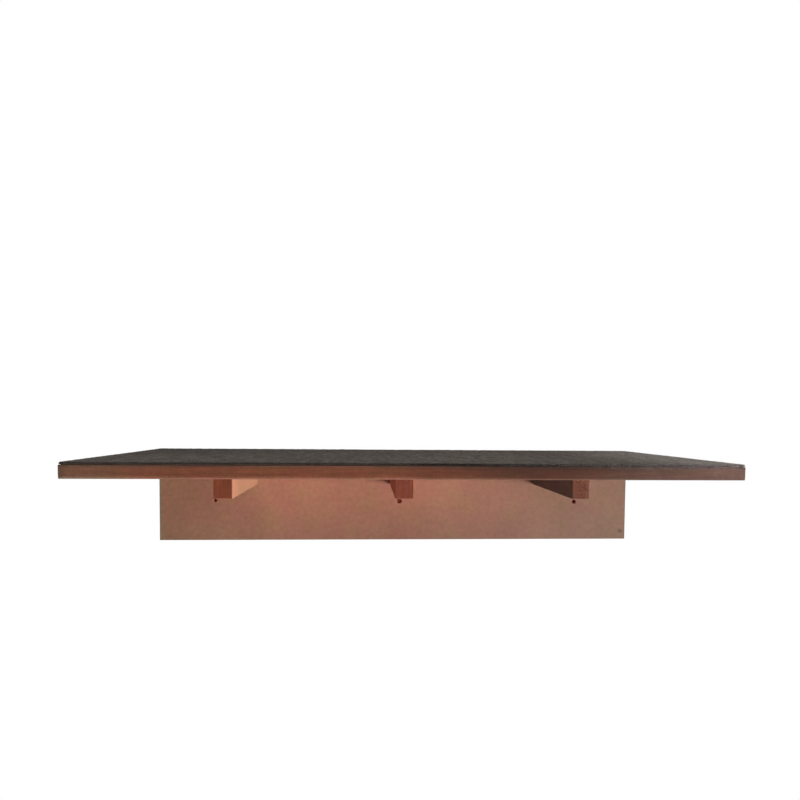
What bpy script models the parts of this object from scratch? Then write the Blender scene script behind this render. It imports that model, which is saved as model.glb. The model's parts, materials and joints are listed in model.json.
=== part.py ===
"""Cat wall shelf: a carpeted deck on a back board and three supports, held together by screws.

All sizes are in metres. +X is to the right as seen from the room, -Y points into the room and +Z up.
The wall is the plane Y = 0. The origin is on the back board's rear face, half way along its length.
"""

import math

import bmesh
import bpy

# Clearances and cuts
joint_gap = 0.0003  # left between two pieces that touch
cut_overrun = 0.001  # how far a cutter runs past the face that it opens

# Sanded edges
arris = 0.0005
deck_lower_arris = 0.0015

# Deck
deck_length = 0.600
deck_depth = 0.250
deck_thickness = 0.012
deck_underside_height = 0.033  # above the origin

# Carpet
carpet_thickness = 0.002
carpet_inset = 0.001  # from the deck's edges, all round
carpet_corner_radius = 0.004

# Back board
board_height = 0.100
board_thickness = 0.012
board_end_inset = 0.002  # from the deck's ends

# Holes for the wall screws, through the back board
wall_hole_diameter = 0.006
wall_hole_drop = 0.0515  # below the deck's underside
wall_hole_end_distance = 0.0687  # from the back board's ends

# Supports
support_width = 0.018
support_height = 0.029
support_length = 0.143
support_end_distance = 0.113  # from the back board's ends to the outer supports' centres

# Screws, one kind throughout
head_diameter = 0.007
head_rim = 0.0004
head_sink = 0.0004  # below the face that the head is sunk in
neck_length = 0.007  # plain stretch between the head and the thread
core_diameter = 0.0022
thread_diameter = 0.0035
thread_pitch = 0.0024
tip_length = 0.005
tip_cover = 0.006  # timber left beyond the tip in a support
recess_span = 0.0040
recess_slot = 0.0010
recess_depth = 0.0018

# Places of the screws
board_screw_end_distance = 0.023  # from the back board's ends
support_screw_front_distance = 0.028  # from a support's front end
support_screw_rear_distance = 0.045  # from a support's rear end

# Counts and shares
arris_segments = 2
corner_segments = 5
screw_segments = 12
hole_segments = 24
recess_foot_share = 0.4  # width of the recess's floor, of its mouth

# Derived sizes
deck_top_height = deck_underside_height + deck_thickness
board_length = deck_length - board_end_inset - board_end_inset
support_offset = board_length / 2 - support_end_distance
wall_hole_offset = board_length / 2 - wall_hole_end_distance
board_screw_offset = board_length / 2 - board_screw_end_distance
screw_length = deck_thickness + support_height - tip_cover

support_places = {"left": -support_offset, "middle": 0, "right": support_offset}


def linear(red, green, blue):
    """A colour read from a picture, 0 to 255, as the linear values that a shader takes."""
    shares = (red / 255, green / 255, blue / 255)
    return tuple(((share + 0.055) / 1.055) ** 2.4 for share in shares)


def clear_scene():
    for item in list(bpy.data.objects):
        bpy.data.objects.remove(item, do_unlink=True)


def make_material(name, colour, roughness, metallic=0.0):
    material = bpy.data.materials.new(name)
    material.use_nodes = True
    material.diffuse_color = (*colour, 1.0)
    shader = material.node_tree.nodes["Principled BSDF"]
    shader.inputs["Base Color"].default_value = (*colour, 1.0)
    shader.inputs["Roughness"].default_value = roughness
    shader.inputs["Metallic"].default_value = metallic
    return material


def deck_material():
    return make_material("deck_mdf", linear(118, 73, 57), 0.75)


def board_material():
    return make_material("board_mdf", linear(156, 110, 89), 0.7)


def support_material():
    return make_material("support_mdf", linear(140, 88, 66), 0.7)


def carpet_material():
    return make_material("charcoal_felt", linear(82, 77, 73), 0.95)


def screw_material():
    return make_material("zinc_steel", linear(178, 176, 168), 0.35, 1.0)


def finished_mesh(shape, name):
    """The bmesh as a mesh whose faces point out."""
    bmesh.ops.recalc_face_normals(shape, faces=shape.faces)
    mesh = bpy.data.meshes.new(name)
    shape.to_mesh(mesh)
    shape.free()
    return mesh


def add_object(name, mesh, parent=None, location=(0, 0, 0), rotation=(0, 0, 0)):
    item = bpy.data.objects.new(name, mesh)
    item.parent = parent
    item.location = location
    item.rotation_euler = rotation
    bpy.context.scene.collection.objects.link(item)
    return item


def board_mesh(name, size, lower_arris):
    """A box about its own centre whose edges carry their share of the lower arris's width."""
    shape = bmesh.new()
    bmesh.ops.create_cube(shape, size=1.0)
    bmesh.ops.scale(shape, vec=size, verts=shape.verts)
    weight = shape.edges.layers.float.new("bevel_weight_edge")
    for edge in shape.edges:
        is_lower = all(vert.co.z < 0 for vert in edge.verts)
        edge[weight] = 1.0 if is_lower else arris / lower_arris
    return finished_mesh(shape, name)


def add_board(name, size, material, parent, location, lower_arris):
    """A board or block with sanded edges, centred at its location."""
    board = add_object(name, board_mesh(name, size, lower_arris), parent, location)
    board.data.materials.append(material)
    sanding = board.modifiers.new("sanded_edges", "BEVEL")
    sanding.limit_method = "WEIGHT"
    sanding.width = lower_arris
    sanding.segments = arris_segments
    return board


def turned_rings(shape, profile, segments):
    """Joins rings of points about Z, one for each (radius, height) of the profile, and returns them."""
    rings = []
    for radius, height in profile:
        angles = [math.tau * step / segments for step in range(segments)]
        points = [(radius * math.cos(angle), radius * math.sin(angle), height) for angle in angles]
        rings.append([shape.verts.new(point) for point in points])
    for upper, lower in zip(rings, rings[1:]):
        for step in range(segments):
            after = (step + 1) % segments
            shape.faces.new((upper[step], upper[after], lower[after], lower[step]))
    return rings


def turned_mesh(name, profile, segments):
    """A closed solid turned about Z from its profile, top to bottom."""
    shape = bmesh.new()
    rings = turned_rings(shape, profile, segments)
    shape.faces.new(rings[0])
    shape.faces.new(rings[-1])
    return finished_mesh(shape, name)


def neck_height():
    """Where the head's cone, which narrows at 45 degrees, reaches the screw's core."""
    return -head_rim - (head_diameter - core_diameter) / 2


def tapered(radius, height):
    """A radius on the screw's shank, drawn in to a point along the tip."""
    above_tip = height + screw_length
    return radius * min(1, above_tip / tip_length)


def add_thread(shape, ring):
    """A right-handed thread that winds down from the ring, a ring of points, to the screw's point.

    Two rows of points wind side by side, the root and the crest half a pitch below it. A point of
    the root lies one pitch above the root's point a turn later.
    """
    collar = [ring[0], *reversed(ring[1:])]
    top = neck_height() - neck_length
    turns = int((top + screw_length) / thread_pitch) - 1
    steps = turns * screw_segments
    root, crest = [], []
    for step in range(steps + screw_segments + 1):
        angle = -math.tau * step / screw_segments
        height = top - thread_pitch * step / screw_segments
        radius = tapered(core_diameter / 2, height)
        root.append(shape.verts.new((radius * math.cos(angle), radius * math.sin(angle), height)))
        if step > steps:
            continue
        run_in = min(1, step / screw_segments, (steps - step) / screw_segments)
        ridge = (thread_diameter - core_diameter) / 2 * run_in
        height -= thread_pitch / 2
        radius = tapered(core_diameter / 2 + ridge, height)
        crest.append(shape.verts.new((radius * math.cos(angle), radius * math.sin(angle), height)))
    for step in range(steps):
        below = step + screw_segments
        shape.faces.new((root[step], root[step + 1], crest[step + 1], crest[step]))
        shape.faces.new((crest[step], crest[step + 1], root[below + 1], root[below]))
    for step in range(screw_segments - 1):
        shape.faces.new((collar[step], collar[step + 1], root[step + 1], root[step]))
    last = root[screw_segments - 1]
    run_out = (collar[-1], collar[0], root[0], crest[0], root[screw_segments])
    for first, second in zip(run_out, run_out[1:]):
        shape.faces.new((last, first, second))
    point = shape.verts.new((0, 0, -screw_length))
    lower_edge = [*root[steps:], crest[steps]]
    for first, second in zip(lower_edge, [*lower_edge[1:], lower_edge[0]]):
        shape.faces.new((first, second, point))


def plain_screw_mesh():
    """A countersunk screw that points down from its head's top at the origin, with no recess yet."""
    neck = neck_height()
    profile = [
        (head_diameter / 2, 0),
        (head_diameter / 2, -head_rim),
        (core_diameter / 2, neck),
        (core_diameter / 2, neck - neck_length + thread_pitch),
    ]
    shape = bmesh.new()
    rings = turned_rings(shape, profile, screw_segments)
    shape.faces.new(rings[0])
    add_thread(shape, rings[-1])
    return finished_mesh(shape, "plain_screw")


def recess_mesh():
    """A cross that narrows downwards, as the driver's point does."""
    reach, half_slot = recess_span / 2, recess_slot / 2
    quarter = [(reach, -half_slot), (reach, half_slot), (half_slot, half_slot)]
    outline = []
    for _ in range(4):
        outline += quarter
        quarter = [(-y, x) for x, y in quarter]
    levels = ((cut_overrun, 1), (0, 1), (-recess_depth, recess_foot_share))
    shape = bmesh.new()
    rings = []
    for height, share in levels:
        rings.append([shape.verts.new((x * share, y * share, height)) for x, y in outline])
    for upper, lower in zip(rings, rings[1:]):
        for step, corner in enumerate(upper):
            after = (step + 1) % len(upper)
            shape.faces.new((corner, upper[after], lower[after], lower[step]))
    shape.faces.new(rings[0])
    shape.faces.new(rings[-1])
    return finished_mesh(shape, "recess")


def carved_mesh(name, solid, cutter):
    """The solid with the cutter's shape taken out, as a new mesh."""
    body = add_object("carved_body", solid)
    tool = add_object("carving_tool", cutter)
    carving = body.modifiers.new("carving", "BOOLEAN")
    carving.solver = "EXACT"
    carving.object = tool
    result = body.evaluated_get(bpy.context.evaluated_depsgraph_get())
    mesh = bpy.data.meshes.new_from_object(result)
    mesh.name = name
    bpy.data.objects.remove(body)
    bpy.data.objects.remove(tool)
    return mesh


def screw_mesh(material):
    mesh = carved_mesh("countersunk_screw", plain_screw_mesh(), recess_mesh())
    mesh.materials.append(material)
    mesh.shade_smooth()
    mesh.set_sharp_from_angle(angle=math.radians(35))
    return mesh


def screw_hole_mesh():
    """The space that a screw needs in the timber: its own outline with the joint gap all round."""
    head_radius = head_diameter / 2 + joint_gap
    bore_radius = thread_diameter / 2 + joint_gap
    cone_foot = -head_rim - (head_radius - bore_radius)
    profile = [
        (head_radius, cut_overrun),
        (head_radius, -head_rim),
        (bore_radius, cone_foot),
        (bore_radius, -screw_length - joint_gap),
    ]
    return turned_mesh("screw_hole", profile, screw_segments)


def wall_hole_mesh():
    """The bore of a wall screw's hole, which runs past both faces of the back board."""
    reach = board_thickness / 2 + cut_overrun
    radius = wall_hole_diameter / 2
    return turned_mesh("wall_hole", [(radius, reach), (radius, -reach)], hole_segments)


def add_cutter(name, mesh, parent, location, rotation, cut_pieces):
    """A cutter that is taken out of each of the pieces given."""
    cutter = add_object(name, mesh, parent, location, rotation)
    cutter.hide_render = True
    cutter.display_type = "WIRE"
    for piece in cut_pieces:
        piece.modifiers["holes"].collection.objects.link(cutter)


def open_to_cutters(piece):
    """Lets cutters be taken out of the piece, through one Boolean with a collection of its own."""
    cutters = bpy.data.collections.new(piece.name + "_cutters")
    bpy.context.scene.collection.children.link(cutters)
    holes = piece.modifiers.new("holes", "BOOLEAN")
    holes.solver = "EXACT"
    holes.operand_type = "COLLECTION"
    holes.collection = cutters


def add_deck(parent, material):
    size = (deck_length, deck_depth, deck_thickness)
    centre = (0, -deck_depth / 2, deck_underside_height + deck_thickness / 2)
    deck = add_board("deck_board", size, material, parent, centre, deck_lower_arris)
    open_to_cutters(deck)
    return deck


def add_carpet(parent, material):
    """The carpet as a plain slab with round corners, laid on the deck."""
    width = deck_length - carpet_inset - carpet_inset
    depth = deck_depth - carpet_inset - carpet_inset
    shape = bmesh.new()
    bmesh.ops.create_cube(shape, size=1.0)
    bmesh.ops.scale(shape, vec=(width, depth, carpet_thickness), verts=shape.verts)
    upright = [edge for edge in shape.edges if edge.verts[0].co.xy == edge.verts[1].co.xy]
    bmesh.ops.bevel(
        shape,
        geom=upright,
        offset=carpet_corner_radius,
        segments=corner_segments,
        profile=0.5,
        affect="EDGES",
    )
    carpet = add_object("deck_carpet", finished_mesh(shape, "deck_carpet"), parent)
    carpet.data.materials.append(material)
    height = deck_top_height + joint_gap + carpet_thickness / 2
    carpet.location = (0, -deck_depth / 2, height)
    return carpet


def add_back_board(parent, material):
    size = (board_length, board_thickness, board_height)
    height = deck_underside_height - joint_gap - board_height / 2
    centre = (0, -board_thickness / 2, height)
    board = add_board("back_board", size, material, parent, centre, arris)
    open_to_cutters(board)
    return board


def add_support(side, parent, material):
    size = (support_width, support_length, support_height)
    depth = board_thickness + joint_gap + support_length / 2
    height = deck_underside_height - joint_gap - support_height / 2
    centre = (support_places[side], -depth, height)
    support = add_board("support_" + side, size, material, parent, centre, arris)
    open_to_cutters(support)
    return support


def add_screw(name, meshes, parent, location, rotation, cut_pieces):
    """A screw whose head's top is at the location, with the hole that it needs in each piece it enters."""
    screw, hole = meshes
    add_object(name, screw, parent, location, rotation)
    add_cutter(name + "_hole", hole, parent, location, rotation, cut_pieces)


def add_wall_holes(parent, board):
    """Three bores through the back board, level with each other."""
    mesh = wall_hole_mesh()
    height = deck_underside_height - wall_hole_drop
    sideways = (math.radians(90), 0, 0)
    for side, offset in zip(support_places, (-wall_hole_offset, 0, wall_hole_offset)):
        place = (offset, -board_thickness / 2, height)
        add_cutter("wall_hole_" + side, mesh, parent, place, sideways, [board])


def add_deck_to_board_screws(meshes, parent, deck, board):
    """Screws down through the deck into the middle of the back board's top edge.

    The outer two are near the board's ends and the inner two half way between the supports.
    """
    between_supports = support_offset / 2
    offsets = (-board_screw_offset, -between_supports, between_supports, board_screw_offset)
    for number, offset in enumerate(offsets, start=1):
        place = (offset, -board_thickness / 2, deck_top_height - head_sink)
        name = f"deck_to_board_screw_{number}"
        add_screw(name, meshes, parent, place, (0, 0, 0), [deck, board])


def add_deck_to_support_screws(meshes, parent, deck, supports):
    """Two screws down through the deck into each support."""
    rear_end = board_thickness + joint_gap
    depths = {
        "front": rear_end + support_length - support_screw_front_distance,
        "rear": rear_end + support_screw_rear_distance,
    }
    for side, support in supports.items():
        for end, depth in depths.items():
            place = (support_places[side], -depth, deck_top_height - head_sink)
            name = f"deck_to_support_screw_{side}_{end}"
            add_screw(name, meshes, parent, place, (0, 0, 0), [deck, support])


def add_board_to_support_screws(meshes, parent, board, supports):
    """One screw from behind through the back board into the middle of each support's rear end."""
    forwards = (math.radians(-90), 0, 0)
    height = deck_underside_height - joint_gap - support_height / 2
    for side, support in supports.items():
        place = (support_places[side], -head_sink, height)
        name = "board_to_support_screw_" + side
        add_screw(name, meshes, parent, place, forwards, [board, support])


def build_shelf():
    clear_scene()
    shelf = add_object("wall_shelf", None)
    deck = add_deck(shelf, deck_material())
    add_carpet(shelf, carpet_material())
    board = add_back_board(shelf, board_material())
    timber = support_material()
    supports = {side: add_support(side, shelf, timber) for side in support_places}
    add_wall_holes(shelf, board)
    meshes = screw_mesh(screw_material()), screw_hole_mesh()
    add_deck_to_board_screws(meshes, shelf, deck, board)
    add_deck_to_support_screws(meshes, shelf, deck, supports)
    add_board_to_support_screws(meshes, shelf, board, supports)


build_shelf()
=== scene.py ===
"""The look of the cat wall shelf: sanded and sawn MDF boards, a needle-felt carpet and zinc-plated screws.

Everything is in metres in the shelf's own frame: +X to the right as seen from the room, the wall at
Y = 0, +Z up.
"""

import json
import math

import bmesh
import bpy
import numpy as np
from mathutils import Matrix, Vector, noise

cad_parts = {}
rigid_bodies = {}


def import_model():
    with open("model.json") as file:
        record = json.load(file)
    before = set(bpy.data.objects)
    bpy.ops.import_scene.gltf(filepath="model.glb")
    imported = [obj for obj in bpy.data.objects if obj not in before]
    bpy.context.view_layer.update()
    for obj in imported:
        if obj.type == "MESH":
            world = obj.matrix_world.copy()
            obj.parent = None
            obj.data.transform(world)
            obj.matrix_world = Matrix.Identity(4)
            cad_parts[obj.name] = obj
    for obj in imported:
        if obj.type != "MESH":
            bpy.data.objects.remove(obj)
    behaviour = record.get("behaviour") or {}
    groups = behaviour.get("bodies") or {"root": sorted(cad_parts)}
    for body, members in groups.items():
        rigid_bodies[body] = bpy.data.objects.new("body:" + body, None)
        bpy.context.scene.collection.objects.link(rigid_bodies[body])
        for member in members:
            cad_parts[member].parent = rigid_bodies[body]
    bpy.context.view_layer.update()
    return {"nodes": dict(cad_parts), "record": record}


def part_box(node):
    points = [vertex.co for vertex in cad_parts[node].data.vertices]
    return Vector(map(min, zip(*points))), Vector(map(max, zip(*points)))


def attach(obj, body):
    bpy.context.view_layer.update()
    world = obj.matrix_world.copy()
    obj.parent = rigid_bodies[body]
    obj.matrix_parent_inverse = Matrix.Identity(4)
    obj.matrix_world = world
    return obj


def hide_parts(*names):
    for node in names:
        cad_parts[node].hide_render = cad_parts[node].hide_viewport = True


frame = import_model()
OPENINGS = frame["record"]["physics"]["openings"]

# Camera, fitted to the corners of the boards in the photograph
CAMERA_PLACE = (-0.0410, -0.7584, 0.0834)
CAMERA_YAW = 3.17  # degrees to the right of straight at the wall
CAMERA_PITCH = -2.39
CAMERA_ROLL = 0.45
LENS_MM = 26.44
SHIFT = (0.0023, 0.0579)
CLIP_START = 0.01

# Stage
WHITE = (1, 1, 1, 1)
FLOOR_HEIGHT = -2.0
FLOOR_REACH = 7.0
SHADOW_REACH = (0.9, 2.1)  # where the floor's shadows fade into the white
SHADOW_SHARE = 0.45  # how much of a shadow on the floor is seen
AMBIENT = (0.080, 0.086, 0.096)
WALL_GAP = 0.0008  # from the back board to the spots of wall behind its holes
WALL_SPOT_RADIUS = 0.0034

# Lamps: name, place, diameter and power
LAMPS = (
    ("key", (3.0, -1.85, -1.2), 2.6, 244),
    ("top", (0.75, 0.15, 1.15), 0.6, 14),
    ("high_left", (-1.5, -0.6, 1.5), 1.2, 12),
    ("rear", (0.2, 2.5, -0.6), 1.4, 42),
)
LAMP_TARGET = (0, -0.1, 0.02)

# Boards
GRIDS = {  # spacing of a mesh's lines along each axis
    "deck_board": (0.0030, 0.0060, 0.0030),
    "back_board": (0.0030, 0.0060, 0.0040),
}
SUPPORT_GRID = (0.0020, 0.0040, 0.0020)
CUT_WIDER = {"support_left": 0.0013, "support_middle": 0.0010}  # how much wider they were cut, to the left
ARRIS_SHARES = (0, 0.1, 0.26, 0.48, 0.72, 1.0)  # grid lines across a rounded edge
ARRIS = 0.0005
DECK_LOWER_ARRIS = 0.0012
ARRIS_WANDER = 0.45  # share by which an arris's radius wanders
ARRIS_WAVES = ((0.7, 0.020), (0.5, 0.005))  # strength and size of the waves in which it wanders
SHARP_ANGLE = 38  # degrees between two faces from which their edge is shaded as sharp

# Holes
HOLE_SEGMENTS = 24
SCREW_CLEARANCE = 0.0003
OVERRUN = 0.001  # how far a cutter runs past the face that it opens

# Wall holes: each one's radius, the width of its torn rim, and how far it wandered right and up as drilled
WALL_HOLES = {
    "wall_hole_left": (0.0023, 0.0002, 0.0003, 0.0017),
    "wall_hole_middle": (0.0030, 0.0006, 0.0023, 0.0009),
    "wall_hole_right": (0.0025, 0.0003, 0.0004, -0.0001),
}
TORN_DEPTH = 0.0004
TORN_SHARE = 0.75  # of a torn rim's width, its middle value
TORN_WAVE = 0.45  # how quickly the width changes from point to point
TORN_SEED = 40  # turns a hole's X into the seed of its rim
TORN_RIM_POINTS = 40

# MDF patterns: the size of their features, one for all or three for a board's long sides and thickness
BLOTCH_SIZE = 0.045
MOTTLE_SIZE = 0.006
FLECK_SIZE = 0.0014
FIBRE_LENGTH = 0.0045
FIBRE_WIDTH = 0.0006
LAYER_SIZE = (0.040, 0.040, 0.0020)
PATCH_SIZE = (0.010, 0.010, 0.005)
SAW_MARK_SIZE = (0.0014, 0.0014, 0.014)
GRAIN_SIZE = 0.0011
CURL_SIZE = 0.0042
HUE_SIZE = (0.026, 0.026, 0.007)
FIBRE_MIDDLE = 0.64  # the usual value of the fibres' pattern
FLECK_LIMITS = (0.66, 0.74)  # the values of a pattern between which a fleck sets in
CURL_WIDTH = 0.055  # how far from its middle value a noise still shows a curling fibre

# Reliefs, from the lowest to the highest place
FIBRE_RELIEF = 0.00006
SAW_RELIEF = 0.00010
GRAIN_RELIEF = 0.00014
TANGLE_RELIEF = 0.00030
HEATHER_RELIEF = 0.00025
SCRATCH_RELIEF = 0.00002

# Arrises rubbed bare
RUBBED_BAND = (-0.0004, 0.0006)  # the distances from an arris between which the rubbing ends
RUBBED_WANDER = -0.0012  # how far the mottle moves that band
RUBBED_SHARE = 0.4  # how bare the timber is
BARE_TONE = 1.05  # how light bare timber is beside a face

# Tints of the timber beside its own, and a painted sheen
OLIVE_TINT = (0.97, 1.05, 0.94, 1)
PINK_TINT = (1.03, 0.96, 1.03, 1)
PAINTED_SHEEN = (0.0205, 0.0150, 0.0137)  # a painted sheen: the pale haze that a reflection of the white room adds
SHEEN_FROM, SHEEN_TO = -0.02, 0.28  # the X between which more painted sheen sets in

# Tones along the boards as smooth steps: from one X to another, and the factors before and after
DECK_STEPS = (
    (-0.02, 0.02, 1.0, 0.72),
    (0.025, 0.105, 1.0, 0.53),
    (0.14, 0.17, 1.0, 1.28),
    (0.17, 0.30, 1.0, 1.80),
)
# The back board's steps are a painted pool of light, palest left of its middle.
BACK_BOARD_STEPS = (
    (-0.29, -0.14, 0.71, 1.15),
    (-0.11, 0.0, 1.0, 0.89),
    (0.05, 0.25, 1.0, 0.62),
)
SCUFF_INSET = (0.0065, 0.0105)  # how far in from the back board's right end and up from its foot
SCUFF_RIM = (-0.0008, 0.0018)  # the distances from its middle between which the scuff fades
SCUFF_WANDER = -0.004  # how far a noise moves that rim

# Carpet
CARPET_GRID = 0.0022
CARPET_ARRIS = 0.0005
CARPET_LOWER_ARRIS = 0.0001
CARPET_SWELL = 0.0001  # how far the felt's top stands above its nominal height
LEFT_SWELL = 0.0002  # how much more it does at its left end
CARPET_WAVES = ((0.00022, 0.0045), (0.00012, 0.060))  # height and size of the waves in its top
CUT_WAVE = (0.00020, 0.007)  # depth and size of the waves in its cut edge
CARPET_CORNERS = {(-1, -1): 0.0008, (1, -1): 0.0014, (-1, 1): 0.0020, (1, 1): 0.0030}

# Pile
FIBRES = 24000
PILE_POINTS = 5  # along each fibre
PILE_INSET = 0.003  # of the fibres' roots from the carpet's edges
PILE_LENGTHS = (0.002, 0.006)
PILE_CURL = 0.9
PILE_RISES = (0.0001, 0.0007)
PILE_ROOT = 0.0003  # below the felt's nominal top
PILE_WIDTHS = (0.00006, 0.00014)
PILE_ROLL = 0.9

# Fringe
FRINGE_FIBRES = 14000
FRINGE_POINTS = 6
CROWD_SHARE = 0.6  # of the front's fibres, that crowd towards its right end
CROWD_REACH = 0.50  # the share of the front over which they spread
CROWD_POWER = 1.1  # how much denser they get towards the end
CORNER_SHARE = 0.3  # of a side's fibres, that crowd at its front corner
CORNER_REACH = 0.03  # the share of the side over which they spread
FRONT_DROPS = {0: 0.0007, 0.50: 0.0010, 0.66: 0.0017, 0.76: 0.0027, 0.88: 0.0036, 1: 0.0034}
FRONT_CLUMPS = 90  # how many waves the drops of the front's fibres make along it
DROP_POWER = 0.7  # below 1, more of them drop far
DROOP_POWER = 2.2  # how late along its length a fibre bends down
PLAIN_DROP = 0.0012
FRINGE_REACHES = (0.0006, 0.0016)
FRINGE_ROOT = 0.0005  # inside the cut edge
FRINGE_HEIGHTS = (0.1, 0.95)  # shares of the felt's thickness
FRINGE_ARCH = 0.0003
FRINGE_SWAY = 0.0009
FRINGE_WIDTHS = (0.00008, 0.00018)
FRINGE_ROLL = 1.4
HANGING_REACH = 0.00115  # a hanging fibre keeps at least this far out, in front of the deck
LYING_REACH = 0.00095  # a fibre on another side than the front keeps within this, over the deck
LOWEST_LYING = 0.0001  # above the carpet's underside


def srgb(red, green, blue):
    """A colour from 0 to 255 as the linear RGBA that a shader takes."""
    shares = (red / 255, green / 255, blue / 255)
    return (*(((share + 0.055) / 1.055) ** 2.4 for share in shares), 1.0)


class Shader:
    """A material's nodes, with one short call for each kind that is used here."""

    def __init__(self, name):
        self.material = bpy.data.materials.new(name)
        self.material.use_nodes = True
        self.tree = self.material.node_tree
        self.surface = self.tree.nodes["Principled BSDF"]

    def feed(self, socket, value):
        if isinstance(value, bpy.types.NodeSocket):
            self.tree.links.new(value, socket)
        else:
            socket.default_value = value

    def node(self, kind, **inputs):
        made = self.tree.nodes.new("ShaderNode" + kind)
        for key, value in inputs.items():
            self.feed(made.inputs[key], value)
        return made

    def math(self, operation, *values):
        made = self.node("Math")
        made.operation = operation
        for socket, value in zip(made.inputs, values):
            self.feed(socket, value)
        return made.outputs[0]

    def vector(self, operation, *values):
        made = self.node("VectorMath")
        made.operation = operation
        for socket, value in zip(made.inputs, values):
            self.feed(socket, value)
        return made.outputs[0]

    def scaled(self, colour, factor):
        made = self.node("VectorMath")
        made.operation = "SCALE"
        self.feed(made.inputs[0], colour if isinstance(colour, bpy.types.NodeSocket) else colour[:3])
        self.feed(made.inputs["Scale"], factor)
        return made.outputs[0]

    def length(self, vector):
        made = self.node("VectorMath")
        made.operation = "LENGTH"
        self.feed(made.inputs[0], vector)
        return made.outputs["Value"]

    def parts(self, vector):
        return self.node("SeparateXYZ", Vector=vector).outputs

    def joined(self, x, y, z):
        return self.node("CombineXYZ", X=x, Y=y, Z=z).outputs[0]

    def chain(self, operation, values):
        """The operation done on the first two values, then on its result and the third, and so on."""
        found = values[0]
        for value in values[1:]:
            found = self.math(operation, found, value)
        return found

    def product(self, *values):
        return self.chain("MULTIPLY", values)

    def total(self, *values):
        return self.chain("ADD", values)

    def varied(self, pattern, contrast, middle=0.5):
        """A factor that is 1 at the pattern's middle and follows it with that contrast."""
        return self.math("MULTIPLY_ADD", pattern, contrast, 1 - contrast * middle)

    def within(self, mask, change):
        """A factor that is 1 outside the mask and 1 + change inside it."""
        return self.math("MULTIPLY_ADD", mask, change, 1.0)

    def ramp(self, value, low, high, first=0.0, last=1.0):
        """Goes smoothly from first to last as the value goes from low to high."""
        made = self.node("MapRange", Value=value)
        made.interpolation_type = "SMOOTHSTEP"
        for key, limit in (("From Min", low), ("From Max", high), ("To Min", first), ("To Max", last)):
            self.feed(made.inputs[key], limit)
        return made.outputs[0]

    def ramps(self, value, steps):
        """The product of several ramps."""
        return self.product(*[self.ramp(value, *step) for step in steps])

    def mix(self, factor, first, second):
        made = self.node("Mix")
        made.data_type = "RGBA"
        for index, value in ((0, factor), (6, first), (7, second)):
            self.feed(made.inputs[index], value)
        return made.outputs[2]

    def mix_values(self, factor, first, second):
        return self.node("Mix", Factor=factor, A=first, B=second).outputs[0]

    def noise(self, vector, size, detail=2.0, roughness=0.5):
        """Noise from 0 to 1 with features of about that size in metres, one size or one for each axis."""
        if not hasattr(size, "__len__"):
            size = (size, size, size)
        shrunk = self.vector("MULTIPLY", vector, tuple(1 / length for length in size))
        made = self.node("TexNoise", Vector=shrunk, Scale=1.0, Detail=detail, Roughness=roughness)
        return made.outputs[0]

    def fibres(self, flat, length, width, turns=(12, 71, 133)):
        """Short fibres that lie in the plane of flat's first two axes, turned by one angle or another."""
        layers = []
        for turn in turns:
            turned = self.node("Mapping", Vector=flat, Rotation=(0, 0, math.radians(turn)))
            layers.append(self.noise(turned.outputs[0], (length, width, length), detail=2.5))
        return self.chain("MAXIMUM", layers)

    def finish(self, colour, roughness, height=None, **constants):
        """Sets the surface: height is the relief in metres."""
        self.feed(self.surface.inputs["Base Color"], colour)
        self.feed(self.surface.inputs["Roughness"], roughness)
        for key, value in constants.items():
            self.surface.inputs[key.replace("_", " ")].default_value = value
        if height is not None:
            bump = self.node("Bump", Height=height, Distance=1.0, Strength=1.0)
            self.feed(self.surface.inputs["Normal"], bump.outputs[0])
        return self.material

    def blended(self, factor, first, second):
        """Two surfaces mixed."""
        made = self.node("MixShader")
        for socket, value in zip(made.inputs, (factor, first, second)):
            self.feed(socket, value)
        return made.outputs[0]

    def wear(self, surface):
        """Gives the material this surface in place of its plain one."""
        self.feed(self.tree.nodes["Material Output"].inputs["Surface"], surface)
        return self.material


def arris_distance(shader, place, low, high):
    """How far a point on a box's surface is from the box's nearest arris."""
    middle = tuple((a + b) / 2 for a, b in zip(low, high))
    half = tuple((b - a) / 2 for a, b in zip(low, high))
    outward = shader.vector("ABSOLUTE", shader.vector("SUBTRACT", place, middle))
    x, y, z = shader.parts(shader.vector("SUBTRACT", outward, half))
    least = shader.math("MINIMUM", x, y)
    most = shader.math("MAXIMUM", x, y)
    second = shader.math("MAXIMUM", least, shader.math("MINIMUM", most, z))
    return shader.math("MULTIPLY", second, -1.0)


def face_pattern(shader, flat, mottle, fibre):
    """How light an MDF face is: blotches, mottle, short fibres and dark flecks."""
    blotch = shader.noise(flat, BLOTCH_SIZE, detail=3.0)
    fleck = shader.ramp(shader.noise(flat, FLECK_SIZE, detail=1.5), *FLECK_LIMITS)
    return shader.product(
        shader.varied(blotch, contrast=0.36),
        shader.varied(mottle, contrast=0.42),
        shader.varied(fibre, contrast=0.50, middle=FIBRE_MIDDLE),
        shader.within(fleck, change=-0.22),
    )


def sawn_pattern(shader, flat, saw, grain, speckle, curl):
    """How light a sawn MDF edge is: layers, patches, saw marks, specks and darker curling fibres."""
    layer = shader.noise(flat, LAYER_SIZE, detail=3.0)
    patch = shader.noise(flat, PATCH_SIZE, detail=2.0)
    level = shader.math("SUBTRACT", shader.noise(flat, CURL_SIZE, detail=1.0), 0.5)
    return shader.product(
        shader.varied(layer, contrast=0.90),
        shader.varied(patch, contrast=0.44),
        shader.varied(saw, contrast=0.26),
        shader.varied(grain, contrast=speckle),
        shader.ramp(shader.math("ABSOLUTE", level), 0.0, CURL_WIDTH, 1 - curl, 1.0),
    )


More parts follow.
